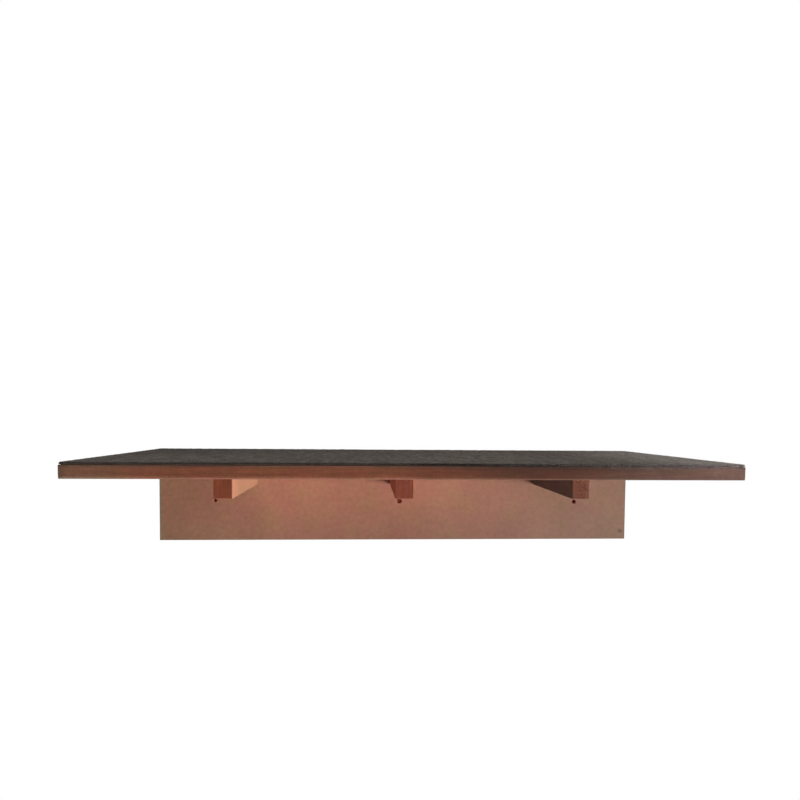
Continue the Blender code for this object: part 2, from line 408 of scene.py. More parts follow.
def mdf_material(name, node, thickness_axis, colours, tone, speckle, curl, right_sheen):
    """Raw MDF: a smooth mottled face of short fibres, and darker sawn edges in layers with saw marks.

    tone is a function of the shader and the place. It gives a factor for the sawn edges' colour, one
    for the faces' colour, how grey the timber is, and how far its hue leans from olive to pink.
    speckle is the contrast of a sawn edge's grain, curl how dark the curling fibres in it are, and
    the last how much more painted sheen, a pale haze for a reflection, shows at the board's right end.
    """
    face_colour, sawn_colour = colours
    shader = Shader(name)
    coordinates = shader.node("TexCoord").outputs
    place = coordinates["Object"]
    axes = list(shader.parts(place))
    through = axes.pop(thickness_axis)
    flat = shader.joined(axes[0], axes[1], through)
    facing = shader.math("ABSOLUTE", shader.parts(coordinates["Normal"])[thickness_axis])
    is_sawn = shader.ramp(facing, 0.45, 0.8, 1.0, 0.0)
    mottle = shader.noise(flat, MOTTLE_SIZE, detail=3.0)
    fibre = shader.fibres(flat, FIBRE_LENGTH, FIBRE_WIDTH)
    saw = shader.noise(flat, SAW_MARK_SIZE, detail=2.0)
    grain = shader.noise(flat, GRAIN_SIZE, detail=2.5)

    sawn_factor, face_factor, grey, lean = tone(shader, place)
    face_tone = shader.product(face_pattern(shader, flat, mottle, fibre), face_factor)
    sawn_tone = shader.product(sawn_pattern(shader, flat, saw, grain, speckle, curl), sawn_factor)
    face_base = shader.mix(grey, face_colour, srgb(147, 114, 94))
    sawn_base = shader.mix(grey, sawn_colour, srgb(113, 87, 75))
    colour = shader.mix(is_sawn, shader.scaled(face_base, face_tone), shader.scaled(sawn_base, sawn_tone))

    low, high = board_box(node)
    distance = arris_distance(shader, place, low, high)
    ragged = shader.math("MULTIPLY_ADD", mottle, RUBBED_WANDER, distance)
    rubbed = shader.ramp(ragged, *RUBBED_BAND, RUBBED_SHARE, 0.0)
    bare_tone = shader.product(shader.mix_values(is_sawn, face_factor, sawn_factor), BARE_TONE)
    colour = shader.mix(rubbed, colour, shader.scaled(face_base, bare_tone))

    drift = shader.total(shader.noise(flat, HUE_SIZE, detail=3.0), lean)
    hue = shader.mix(shader.ramp(drift, 0.30, 0.70), OLIVE_TINT, PINK_TINT)
    # A painted sheen, stronger towards the right end: a pale haze standing in for the white room's
    # reflection.
    colour = shader.vector("ADD", shader.vector("MULTIPLY", colour, hue), PAINTED_SHEEN)
    more_sheen = shader.ramp(shader.parts(place)[0], SHEEN_FROM, SHEEN_TO, 0.0, right_sheen)
    colour = shader.vector("ADD", colour, shader.joined(more_sheen, more_sheen, more_sheen))

    face_relief = shader.product(fibre, FIBRE_RELIEF)
    sawn_relief = shader.math("MULTIPLY_ADD", saw, SAW_RELIEF, shader.product(grain, GRAIN_RELIEF))
    relief = shader.mix_values(is_sawn, face_relief, sawn_relief)
    roughness = shader.math("MULTIPLY_ADD", is_sawn, 0.12, shader.math("MULTIPLY_ADD", mottle, 0.14, 0.72))
    return shader.finish(colour, roughness, relief, Specular_IOR_Level=0.1)


def even_tone(shader, place):
    """The timber as it is."""
    return 1.0, 1.0, 0.0, 0.0


def lit_support_tone(shader, place):
    """Paler and pinker near its front end."""
    y = shader.parts(place)[1]
    low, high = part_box("support_left")
    front = shader.ramp(y, low.y, low.y + 0.4 * (high.y - low.y), 1.0, 0.0)
    face_factor = shader.math("MULTIPLY_ADD", front, 0.13, 0.95)
    return 1.0, face_factor, 0.0, shader.product(front, 0.30)


def deck_tone(shader, place):
    """Darkest right of the middle, at the left end and under the carpet, and greyer towards both ends.

    Under the carpet the front edge darkens, partly with dust and partly with painted shade, and on the left
    with a painted shadow of the carpet's edge. Right of the middle it is painted lighter towards its foot.
    Along its lower front arris it is paler, partly rubbed and partly a painted highlight, but for the turn
    into its underside. Its faces darken right at the front.
    """
    x, y, z = shader.parts(place)
    low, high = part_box("deck_board")
    left_end = shader.ramp(x, low.x, low.x + 0.012, 0.66, 1.0)
    # Towards the top of the front edge: the first factor is partly dust and partly painted shade under the
    # carpet, the second a painted shadow of the carpet's edge on the left.
    dust_and_shade_under_carpet = shader.ramp(z, high.z - 0.0035, high.z, 1.0, shader.ramp(x, -0.26, -0.16, 0.85, 0.72))
    carpet_shadow_left = shader.ramp(z, high.z - 0.0026, high.z, 1.0, shader.ramp(x, -0.20, -0.10, 0.58, 1.0))
    # Painted light: right of the middle the front edge is lighter towards its foot, where light from below
    # falls, and darker towards its top.
    centre = shader.product(shader.ramp(x, -0.04, 0.06), shader.ramp(x, 0.16, 0.22, 1.0, 0.0))
    slope = shader.within(centre, shader.ramp(z, low.z + 0.002, high.z - 0.001, 0.14, -0.22))
    under = shader.ramp(z, low.z, low.z + 0.0009, 0.60, 1.0)
    # The lower front arris is paler: partly rubbed timber, partly a painted highlight where light from
    # below catches the round. The band is dimmer towards the right end.
    pale = shader.ramp(z, low.z + 0.0008, low.z + 0.0034, 1.0, 0.0)
    paler = shader.within(pale, shader.ramp(x, 0.06, 0.20, 0.45, 0.15))
    worn = shader.within(pale, shader.ramp(x, 0.18, 0.25, 0.0, -0.26))
    along = shader.ramps(x, DECK_STEPS)
    factor = shader.product(along, left_end, dust_and_shade_under_carpet, carpet_shadow_left, slope, under, paler, worn)
    at_left = shader.ramp(x, -0.32, -0.19, 1.0, 0.0)
    grey = shader.total(
        shader.product(at_left, shader.math("MULTIPLY_ADD", pale, 0.5, 0.45)),
        shader.ramp(x, 0.13, 0.22, 0.0, 0.68),
        shader.ramp(x, 0.22, 0.30, 0.0, 0.25),
        shader.ramp(arris_distance(shader, place, low, high), 0.0005, 0.0035, 0.30, 0.0),
    )
    lean = shader.total(shader.ramp(x, -0.28, -0.22, -0.30, 0.0), shader.ramp(x, 0.20, 0.28, 0.0, 0.20))
    at_front = shader.ramp(x, -0.05, 0.10, 0.50, 0.30)
    return factor, shader.ramp(y, low.y, low.y + 0.0016, at_front, 1.0), grey, lean


def scuff_mask(shader, place):
    """A ragged scuff near the back board's lower right corner."""
    low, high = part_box("back_board")
    middle = (high.x - SCUFF_INSET[0], low.y, low.z + SCUFF_INSET[1])
    distance = shader.length(shader.vector("SUBTRACT", place, middle))
    rim_noise = shader.noise(place, size=0.0025, detail=2.0)
    ragged = shader.math("MULTIPLY_ADD", rim_noise, SCUFF_WANDER, distance)
    return shader.ramp(ragged, *SCUFF_RIM, 1.0, 0.0)


def back_board_tone(shader, place):
    """Palest left of its middle, a painted pool of light, and greyer to the right, below and near its
    arrises.

    Towards its foot, most in the middle, it is darker and greyer: painted shade. It has a scuff near a
    corner. Inside its bores the sawn timber is painted paler: painted light.
    """
    x, _, z = shader.parts(place)
    low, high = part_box("back_board")
    # Painted shade: darker towards the foot, and low in the middle darker still.
    foot = shader.ramp(z, low.z + 0.002, low.z + 0.016, 0.96, 1.0)
    inner = shader.product(shader.ramp(x, -0.26, -0.17), shader.ramp(x, 0.10, 0.20, 1.0, 0.0))
    painted_shade_low_middle = shader.within(inner, shader.ramp(z, low.z, low.z + 0.070, -0.22, -0.05))
    scuff = scuff_mask(shader, place)
    from_corner = shader.math("SUBTRACT", high.x - low.z, shader.math("SUBTRACT", x, z))
    corner = shader.ramp(from_corner, 0.001, 0.006, 0.78, 1.0)
    # A painted pool of light: palest left of the middle.
    along = shader.ramps(x, BACK_BOARD_STEPS)
    factor = shader.product(along, foot, painted_shade_low_middle, shader.within(scuff, -0.48), corner)
    grey = shader.total(
        shader.ramp(x, 0.0, 0.05, 0.0, 0.20),
        shader.ramp(x, 0.08, 0.27, 0.0, 0.20),
        shader.ramp(x, low.x + 0.0015, low.x + 0.0065, 0.95, 0.0),
        # Greyer towards the foot: painted shade.
        shader.ramp(z, low.z, high.z - 0.04, 0.30, 0.0),
        shader.ramp(arris_distance(shader, place, low, high), 0.0005, 0.0050, 0.35, 0.0),
    )
    from_middle = shader.math("ABSOLUTE", x)
    lean = shader.total(shader.ramp(from_middle, 0.15, 0.28, 0.0, -0.08), shader.product(scuff, 0.5))
    # Painted light inside the wall holes' bores: their sawn timber is made paler, as if lit.
    from_bores = shader.math("ABSOLUTE", shader.math("SUBTRACT", z, opening_middle(OPENINGS[0]).z))
    painted_light_in_bores = shader.product(
        shader.ramp(from_middle, 0.26, 0.27, 1.0, 0.0),
        shader.ramp(from_bores, 0.0050, 0.0060, 1.0, 0.0),
    )
    return shader.within(painted_light_in_bores, 1.4), factor, grey, lean


def felt_shade(shader, place):
    """The felt's tint: palest at the right end, where it is a neutral grey, and pale at the left front,
    with a painted shadow darkening it towards the back.
    """
    x, y, _ = shader.parts(place)
    # At the left end, paler at the front and darker towards the back: painted shadow.
    left = shader.product(
        shader.ramp(x, -0.235, -0.17, 1.0, 0.0),
        shader.ramp(y, -0.21, -0.07, 0.16, -0.12),
    )
    right = shader.ramp(x, 0.17, 0.30)
    factor = shader.math("MULTIPLY_ADD", left, 2.1, shader.ramp(x, 0.09, 0.17, 2.1, 1.85))
    factor = shader.math("MULTIPLY_ADD", right, 3.05, factor)
    # Painted shadow: darker towards the back.
    factor = shader.product(factor, shader.ramp(y, -0.18, -0.04, 1.0, 0.78))
    return shader.scaled(shader.mix(right, WHITE, (0.96, 1.02, 1.08, 1)), factor)


def fringe_shade(shader, place):
    """The fringe's tint: pale towards the right, where it hangs over the deck's edge.

    Its last bit at the right end is dark.
    """
    x = shader.parts(place)[0]
    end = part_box("deck_carpet")[1].x
    right = shader.ramp(x, 0.02, 0.29)
    factor = shader.math("MULTIPLY_ADD", right, 4.2, shader.ramp(x, 0.22, 0.27, 1.0, 2.8))
    factor = shader.product(factor, shader.ramp(x, end - 0.0012, end, 1.0, 0.3))
    return shader.scaled(shader.mix(right, WHITE, (0.97, 1.02, 1.10, 1)), factor)


def cut_edge_colour(shader, place, sideways):
    """The felt's cut edge: darkest at mid-height, paler towards the right, and plain on the right end."""
    x, _, z = shader.parts(place)
    low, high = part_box("deck_carpet")
    edge = shader.mix(shader.ramp(z, low.z + 0.0012, high.z - 0.0005), srgb(40, 32, 28), srgb(76, 68, 63))
    edge = shader.mix(shader.ramp(z, low.z + 0.0006, low.z + 0.0011, 1.0, 0.0), edge, srgb(94, 78, 69))
    edge = shader.mix(shader.ramp(x, 0.0, 0.28), edge, srgb(148, 142, 139))
    return shader.mix(shader.ramp(sideways, 0.5, 0.9), edge, srgb(84, 77, 72))


def felt_material():
    """Charcoal needle felt: tangled fibres of several greys, mottled, with a dark cut edge."""
    shader = Shader("charcoal_felt")
    coordinates = shader.node("TexCoord").outputs
    place = coordinates["Object"]
    tangle = shader.fibres(place, length=0.0060, width=0.0006, turns=(8, 49, 97, 151))
    pale_fibres = shader.fibres(place, length=0.0050, width=0.0005, turns=(33, 118))
    flecks = shader.ramp(pale_fibres, *FLECK_LIMITS)
    heather = shader.noise(place, size=0.0024, detail=3.0, roughness=0.6)
    mottle = shader.noise(place, size=(0.006, 0.014, 0.006), detail=2.0)
    worn = shader.noise(place, size=0.070, detail=2.0)
    nap = shader.noise(place, size=(0.007, 0.050, 0.007), detail=2.0)
    colour = shader.mix(shader.ramp(tangle, 0.42, 0.78), srgb(46, 40, 36), srgb(100, 92, 85))
    colour = shader.mix(shader.product(flecks, 0.6), colour, srgb(150, 144, 136))
    tone = shader.product(
        shader.math("MULTIPLY_ADD", heather, 0.6, 0.66),
        shader.math("MULTIPLY_ADD", mottle, 1.0, 0.48),
        shader.varied(worn, contrast=0.3),
        shader.math("MULTIPLY_ADD", nap, 0.6, 0.20),
    )
    colour = shader.vector("MULTIPLY", shader.scaled(colour, tone), felt_shade(shader, place))
    sideways, _, upward = shader.parts(coordinates["Normal"])
    cut = shader.ramp(upward, 0.25, 0.75, 0.9, 0.0)
    colour = shader.mix(cut, colour, cut_edge_colour(shader, place, sideways))
    relief = shader.math("MULTIPLY_ADD", tangle, TANGLE_RELIEF, shader.product(heather, HEATHER_RELIEF))
    return shader.finish(colour, 0.95, relief, Specular_IOR_Level=0.05)


def fibre_material(name, dark, light, shade):
    """Single fibres, each in a grey of its own, tinted by shade, a function of the shader and the place."""
    shader = Shader(name)
    own = shader.node("NewGeometry").outputs["Random Per Island"]
    colour = shader.mix(shader.math("POWER", own, 1.6), dark, light)
    place = shader.node("TexCoord").outputs["Object"]
    colour = shader.vector("MULTIPLY", colour, shade(shader, place))
    return shader.finish(colour, 0.9, Specular_IOR_Level=0.05)


def steel_material():
    """Zinc plating: a fine uneven sheen with a trace of yellow and turning marks."""
    shader = Shader("zinc_steel")
    place = shader.node("TexCoord").outputs["Object"]
    cloud = shader.noise(place, size=0.0016, detail=3.0)
    scratch = shader.noise(place, size=(0.0004, 0.0004, 0.0040), detail=2.0)
    colour = shader.mix(cloud, srgb(196, 193, 184), srgb(176, 168, 140))
    roughness = shader.math("MULTIPLY_ADD", cloud, 0.25, shader.math("MULTIPLY_ADD", scratch, 0.2, 0.14))
    return shader.finish(colour, roughness, shader.product(scratch, SCRATCH_RELIEF), Metallic=1.0)


def grid_lines(low, high, radius, spacing):
    """Places of grid lines along one side of a box: close together in its rounded ends, then even."""
    ends = [radius * share for share in ARRIS_SHARES]
    inner = high - low - radius - radius
    count = max(1, round(inner / spacing))
    middle = [low + radius + inner * step / count for step in range(1, count)]
    return [low + step for step in ends] + middle + [high - step for step in reversed(ends)]


def box_grid(lines):
    """The points and four-sided faces of a box's surface, from grid lines along each of its sides."""
    last = [len(side) - 1 for side in lines]
    index, points, faces = {}, [], []

    def point(*at):
        if at not in index:
            index[at] = len(points)
            points.append([side[step] for side, step in zip(lines, at)])
        return index[at]

    for axis in range(3):
        across, along = (axis + 1) % 3, (axis + 2) % 3
        for end in (0, last[axis]):
            for i in range(last[across]):
                for j in range(last[along]):
                    corners = [(i, j), (i + 1, j), (i + 1, j + 1), (i, j + 1)]
                    if end == 0:
                        corners.reverse()
                    face = []
                    for a, b in corners:
                        at = [0, 0, 0]
                        at[axis], at[across], at[along] = end, a, b
                        face.append(point(*at))
                    faces.append(face)
    return np.array(points, float), faces


def board_box(node):
    """A board's box, drawn out to the left where it was cut wider."""
    low, high = (Vector(corner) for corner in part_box(node))
    low.x -= CUT_WIDER.get(node, 0.0)
    return low, high


def opening_middle(opening):
    low, high = (Vector(corner) for corner in opening["box_m"])
    return (low + high) / 2


def wander(points, size, seed):
    """Smooth noise at each point, from about -1 to 1, with features of that size in metres."""
    shift = Vector((seed * 13.7, seed * 7.3, seed * 3.1))
    return np.array([noise.noise(Vector(point) / size + shift) for point in points])


def waves(points, strengths_and_sizes, seed):
    """Several layers of smooth noise added up, the first with that seed."""
    layers = enumerate(strengths_and_sizes)
    return sum(strength * wander(points, size, seed + step) for step, (strength, size) in layers)


def rounded(points, low, high, radii):
    """The points of a box's surface drawn in to rounded arrises, with a radius for each point and axis."""
    inner = np.clip(points, low + radii, high - radii)
    outward = (points - inner) / radii
    length = np.linalg.norm(outward, axis=1, keepdims=True)
    return inner + outward / np.maximum(length, 1e-9) * radii


def new_mesh(name, points, faces):
    mesh = bpy.data.meshes.new(name)
    mesh.from_pydata([tuple(point) for point in points], [], faces)
    mesh.update()
    return mesh


def add_object(name, data):
    made = bpy.data.objects.new(name, data)
    bpy.context.scene.collection.objects.link(made)
    return made


def add_piece(name, mesh, material):
    mesh.materials.clear()
    mesh.materials.append(material)
    piece = add_object(name, mesh)
    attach(piece, "root")
    return piece


def add_scenery(name, points, faces, material):
    mesh = new_mesh(name, points, faces)
    mesh.materials.append(material)
    return add_object(name, mesh)


def sanded_board(node, seed, spacings, lower_arris):
    """A board of the node's size, with hand-sanded arrises whose radius wanders.

    The lower arris may be rounder than the rest. The board's upright edges keep the plain radius.
    """
    low, high = (np.array(corner) for corner in board_box(node))
    widest = np.array([ARRIS, lower_arris, lower_arris]) * (1 + ARRIS_WANDER)
    lines = [grid_lines(low[axis], high[axis], widest[axis], spacings[axis]) for axis in range(3)]
    points, faces = box_grid(lines)
    wobble = 1 + ARRIS_WANDER * np.clip(waves(points, ARRIS_WAVES, seed), -1, 1)
    nearness = np.clip(1 - (points[:, 2] - low[2] - widest[2]) / (2 * lower_arris), 0, 1)
    lower = ARRIS + (lower_arris - ARRIS) * nearness
    radii = np.stack([ARRIS * wobble, lower * wobble, lower * wobble], axis=1)
    return rounded(points, low, high, radii), faces


def turned_cutter(name, rings, place):
    """A closed solid of stacked rings of points, capped at both ends and moved to its place."""
    shape = bmesh.new()
    loops = [[shape.verts.new(point) for point in points] for points in rings]
    for upper, lower in zip(loops, loops[1:]):
        for step in range(len(upper)):
            after = (step + 1) % len(upper)
            shape.faces.new((upper[step], upper[after], lower[after], lower[step]))
    shape.faces.new(loops[0])
    shape.faces.new(loops[-1])
    bmesh.ops.recalc_face_normals(shape, faces=shape.faces)
    mesh = bpy.data.meshes.new(name)
    shape.to_mesh(mesh)
    shape.free()
    mesh.transform(place)
    return mesh


def ring(radii, height):
    """Points round the Z axis, one for each radius."""
    points = []
    for step, radius in enumerate(radii):
        angle = math.tau * step / len(radii)
        points.append((radius * math.cos(angle), radius * math.sin(angle), height))
    return points


def circle(radius, height):
    return ring([radius] * HOLE_SEGMENTS, height)


def screw_hole(screw):
    """The hole that a screw's node lies in, with a clearance all round, from the node's own box."""
    low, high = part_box(screw)
    size = high - low
    length = max(size.z, size.y)
    head = size.x / 2 + SCREW_CLEARANCE
    shank = size.x / 4 + SCREW_CLEARANCE
    rings = [
        circle(head, OVERRUN),
        circle(head, -SCREW_CLEARANCE),
        circle(shank, -SCREW_CLEARANCE - (head - shank)),
        circle(shank, -length - SCREW_CLEARANCE),
    ]
    middle = (low + high) / 2
    if size.z > size.y:
        place = Matrix.Translation((middle.x, middle.y, high.z))
    else:
        place = Matrix.Translation((middle.x, high.y, middle.z)) @ Matrix.Rotation(-math.pi / 2, 4, "X")
    return turned_cutter(screw + "_hole", rings, place)


def drilled_middle(opening):
    """The middle of a wall hole as it was drilled."""
    _, _, right, up = WALL_HOLES[opening["name"]]
    return opening_middle(opening) + Vector((right, 0, up))


def wall_hole(opening):
    """A drilled hole through the back board, with a torn rim on the front face."""
    board_low, board_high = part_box("back_board")
    depth = board_high.y - board_low.y
    hole_radius, tear, _, _ = WALL_HOLES[opening["name"]]
    torn = []
    for step in range(TORN_RIM_POINTS):
        swing = noise.noise(Vector((step * TORN_WAVE, opening_middle(opening).x * TORN_SEED, 0)))
        torn.append(hole_radius + tear * (TORN_SHARE + swing))
    plain = [hole_radius] * TORN_RIM_POINTS
    rings = [
        ring(torn, OVERRUN),
        ring(torn, -0.3 * TORN_DEPTH),
        ring(plain, -TORN_DEPTH - tear),
        ring(plain, -depth - OVERRUN),
    ]
    middle = drilled_middle(opening)
    place = Matrix.Translation((middle.x, board_low.y, middle.z))
    return turned_cutter(opening["name"], rings, place @ Matrix.Rotation(math.pi / 2, 4, "X"))


def carved_mesh(name, points, faces, cutters):
    """The mesh of the points and faces with each cutter taken out."""
    body = add_object(name + "_uncut", new_mesh(name, points, faces))
    tools = bpy.data.collections.new(name + "_tools")
    bpy.context.scene.collection.children.link(tools)
    for cutter in cutters:
        tools.objects.link(bpy.data.objects.new(cutter.name, cutter))
    carving = body.modifiers.new("holes", "BOOLEAN")
    carving.operand_type = "COLLECTION"
    carving.collection = tools
    carving.solver = "EXACT"
    carved = body.evaluated_get(bpy.context.evaluated_depsgraph_get())
    result = bpy.data.meshes.new_from_object(carved)
    for tool in list(tools.objects):
        bpy.data.objects.remove(tool)
    bpy.data.objects.remove(body)
    bpy.data.collections.remove(tools)
    result.shade_smooth()
    result.set_sharp_from_angle(angle=math.radians(SHARP_ANGLE))
    return result


def screws_in(*words):
    """The names of the screws whose own name has one of the words in it."""
    return [name for name in frame["nodes"] if "screw" in name and any(word in name for word in words)]


def holes_in(node):
    """The cutters for all the holes in a board."""
    if node == "deck_board":
        return [screw_hole(name) for name in screws_in("deck_to_")]
    if node == "back_board":
        holes = [screw_hole(name) for name in screws_in("deck_to_board", "board_to_support")]
        return holes + [wall_hole(opening) for opening in OPENINGS]
    return [screw_hole(name) for name in screws_in(node.replace("support_", "support_screw_"))]


def board_looks():
    """Each board's thickness axis, colours of its faces and sawn edges, tone, speckle, curl and painted
    sheen.
    """
    face = srgb(160, 107, 85)
    return {
        "deck_board": (2, (face, srgb(115, 62, 39)), deck_tone, 0.7, 0.08, 0.005),
        "back_board": (1, (face, srgb(114, 62, 44)), back_board_tone, 0.7, 0.08, 0.021),
        # The supports' faces are lit and shaded copies of one MDF: the left one's paler face is painted
        # light, the right one's darker, greyer face painted shade.
        "support_left": (0, (srgb(162, 115, 87), srgb(116, 58, 31)), lit_support_tone, 0.8, 0.12, 0.0),
        "support_middle": (0, (srgb(182, 105, 80), srgb(115, 56, 37)), even_tone, 0.9, 0.15, 0.0),
        "support_right": (0, (srgb(108, 90, 82), srgb(104, 59, 38)), even_tone, 1.4, 0.50, 0.006),
    }


def make_boards():
    for step, (node, look) in enumerate(board_looks().items()):
        seed = step * 5 + 1
        lower_arris = DECK_LOWER_ARRIS if node == "deck_board" else ARRIS
        points, faces = sanded_board(node, seed, GRIDS.get(node, SUPPORT_GRID), lower_arris)
        mesh = carved_mesh(node + "_timber", points, faces, holes_in(node))
        piece = add_piece(node + "_timber", mesh, mdf_material(node + "_mdf", node, *look))
        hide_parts(node)


def round_corners(points, low, high, cut):
    """Rounds the carpet's upright corners in place, and moves its edge out by cut."""
    middle = (low + high) / 2
    radius = np.full((len(points), 1), CARPET_ARRIS)
    for (across, along), corner_radius in CARPET_CORNERS.items():
        there = (across * (points[:, 0] - middle[0]) > 0) & (along * (points[:, 1] - middle[1]) > 0)
        radius[there] = corner_radius
    inner = np.clip(points[:, :2], low[:2] + radius, high[:2] - radius)
    a, b = ((points[:, :2] - inner) / radius).T
    bent = np.stack([a * np.sqrt(1 - b * b / 2), b * np.sqrt(1 - a * a / 2)], axis=1)
    points[:, :2] = inner + bent * (radius + cut[:, None])


def make_carpet():
    """The felt as a slab with a lightly uneven top, round corners and a knife-cut edge."""
    low, high = (np.array(corner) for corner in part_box("deck_carpet"))
    lines = [grid_lines(low[axis], high[axis], CARPET_ARRIS, CARPET_GRID) for axis in range(3)]
    points, faces = box_grid(lines)
    middle = (low + high) / 2
    is_top = points[:, 2] > middle[2]
    fuller = np.interp(points[:, 0], (low[0], middle[0]), (LEFT_SWELL, 0))
    swell = waves(points, CARPET_WAVES, seed=3) + fuller + CARPET_SWELL
    cut = waves(points, (CUT_WAVE,), seed=5)
    radii = np.full(points.shape, CARPET_ARRIS)
    radii[~is_top] = CARPET_LOWER_ARRIS
    points = rounded(points, low, high, radii)
    round_corners(points, low, high, cut)
    points[:, 2] += np.where(is_top, swell, 0)
    mesh = new_mesh("carpet_felt", points, faces)
    mesh.shade_smooth()
    carpet = add_piece("carpet_felt", mesh, felt_material())
    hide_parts("deck_carpet")
    return carpet


def ribbons(name, paths, widths, rolls, material):
    """A mesh of thin ribbons, one along each path: paths is fibres by points by 3."""
    count, steps, _ = paths.shape
    ahead = np.gradient(paths, axis=1)
    ahead /= np.maximum(np.linalg.norm(ahead, axis=2, keepdims=True), 1e-9)
    up = np.array([0, 0, 1.0])
    aside = np.cross(ahead, up)
    aside /= np.maximum(np.linalg.norm(aside, axis=2, keepdims=True), 1e-9)
    over = np.cross(aside, ahead)
    turned = aside * np.cos(rolls)[:, None, None] + over * np.sin(rolls)[:, None, None]
    taper = np.sqrt(np.clip(1 - np.linspace(0, 1, steps) ** 3, 0.05, 1))
    offset = turned * (widths[:, None] * taper[None, :] / 2)[:, :, None]
    points = np.stack([paths - offset, paths + offset], axis=2).reshape(-1, 3)
    starts = (np.arange(count)[:, None] * steps + np.arange(steps - 1)[None, :]).reshape(-1) * 2
    faces = np.stack([starts, starts + 1, starts + 3, starts + 2], axis=1)
    mesh = new_mesh(name, points, faces.tolist())
    mesh.shade_smooth()
    return add_piece(name, mesh, material)


def make_pile(low, high):
    """Loose fibres that lie in low arcs over the felt."""
    rng = np.random.default_rng(seed=7)
    steps = np.linspace(0, 1, PILE_POINTS)
    root = rng.uniform(low[:2] + PILE_INSET, high[:2] - PILE_INSET, (FIBRES, 2))
    angle = rng.uniform(0, math.tau, FIBRES)
    length = rng.uniform(*PILE_LENGTHS, FIBRES)
    curl = rng.normal(0, PILE_CURL, FIBRES)
    rise = rng.uniform(*PILE_RISES, FIBRES)
    heading = angle[:, None] + curl[:, None] * (steps - 0.5)
    stride = length[:, None] / (len(steps) - 1)
    x = root[:, :1] + np.cumsum(np.cos(heading) * stride, axis=1)
    y = root[:, 1:] + np.cumsum(np.sin(heading) * stride, axis=1)
    arc = np.sin(math.pi * np.clip(steps * 0.9 + 0.02, 0, 1))
    z = high[2] - PILE_ROOT + rise[:, None] * arc
    paths = np.stack([x, y, z], axis=2)
    paths[:, :, :2] = np.clip(paths[:, :, :2], low[:2] + CARPET_ARRIS, high[:2] - CARPET_ARRIS)
    widths = rng.uniform(*PILE_WIDTHS, FIBRES)
    rolls = rng.uniform(-PILE_ROLL, PILE_ROLL, FIBRES)
    # The pile shares the felt's tint, with its painted shadow.
    material = fibre_material("felt_fibre", srgb(32, 28, 25), srgb(112, 104, 97), felt_shade)
    return ribbons("carpet_pile", paths, widths, rolls, material)


def front_drop(share_along):
    """How far a fibre at the carpet's front edge may hang, by its place from left, 0, to right, 1."""
    return np.interp(share_along, list(FRONT_DROPS), list(FRONT_DROPS.values()))


def fringe_places(rng, side, count):
    """Where along its side each fibre grows, from 0 to 1, and how far it drops."""
    along = rng.uniform(0, 1, count)
    drop = rng.uniform(0, PLAIN_DROP, count)
    if side == "front":
        crowd = rng.uniform(0, 1, count) < CROWD_SHARE
        along = np.where(crowd, 1 - CROWD_REACH * rng.uniform(0, 1, count) ** CROWD_POWER, along)
        clump = np.array([noise.noise(Vector((place * FRONT_CLUMPS, 0.5, 0))) for place in along])
        drop = front_drop(along) * rng.uniform(0, 1, count) ** DROP_POWER * (0.8 + 0.7 * clump)
    elif side in ("left", "right"):
        along = np.where(rng.uniform(0, 1, count) < CORNER_SHARE, CORNER_REACH * along, along)
    return along, drop


def fringe_paths(rng, side, count, corner, run, outward, low, size):
    """The paths of the fibres on one side, which starts at corner and goes along run."""
    steps = np.linspace(0, 1, FRINGE_POINTS)
    along, drop = fringe_places(rng, side, count)
    margin = CARPET_CORNERS[(-1, -1)]
    reach_along = size[0] if run[0] else size[1]
    start = np.array(corner) + np.outer(margin + along * (reach_along - margin - margin), run)
    reach = rng.uniform(*FRINGE_REACHES, count)
    height = low[2] + rng.uniform(*FRINGE_HEIGHTS, count) * size[2]
    sway = rng.normal(0, FRINGE_SWAY, count)
    out = reach[:, None] * (1 - (1 - steps) ** 2) - FRINGE_ROOT
    z = height[:, None] + FRINGE_ARCH * np.sin(math.pi * steps) - drop[:, None] * steps ** DROOP_POWER
    lowest = low[2] + LOWEST_LYING
    if side == "front":
        out = np.where(z < lowest, np.maximum(out, HANGING_REACH), out)
    else:
        out = np.minimum(out, LYING_REACH)
        z = np.maximum(z, lowest)
    slide = sway[:, None] * steps
    x = start[:, :1] + out * outward[0] + slide * run[0]
    y = start[:, 1:] + out * outward[1] + slide * run[1]
    return np.stack([x, y, z], axis=2)


def make_fringe(low, high):
    """Fibres pulled out of the cut edge. At the front they hang over the deck's edge, most at the right."""
    rng = np.random.default_rng(seed=11)
    sides = {  # share of the fibres, corner to start from, direction along the side, direction out of it
        "front": (0.72, (low[0], low[1]), (1, 0), (0, -1)),
        "back": (0.08, (low[0], high[1]), (1, 0), (0, 1)),
        "left": (0.10, (low[0], low[1]), (0, 1), (-1, 0)),
        "right": (0.10, (high[0], low[1]), (0, 1), (1, 0)),
    }
    all_paths = []
    for side, (share, *line) in sides.items():
        all_paths.append(fringe_paths(rng, side, int(FRINGE_FIBRES * share), *line, low, high - low))
    paths = np.concatenate(all_paths)
    widths = rng.uniform(*FRINGE_WIDTHS, len(paths))
    rolls = rng.uniform(-FRINGE_ROLL, FRINGE_ROLL, len(paths))
    material = fibre_material("felt_fringe_fibre", srgb(42, 36, 33), srgb(104, 94, 89), fringe_shade)
    return ribbons("carpet_fringe", paths, widths, rolls, material)


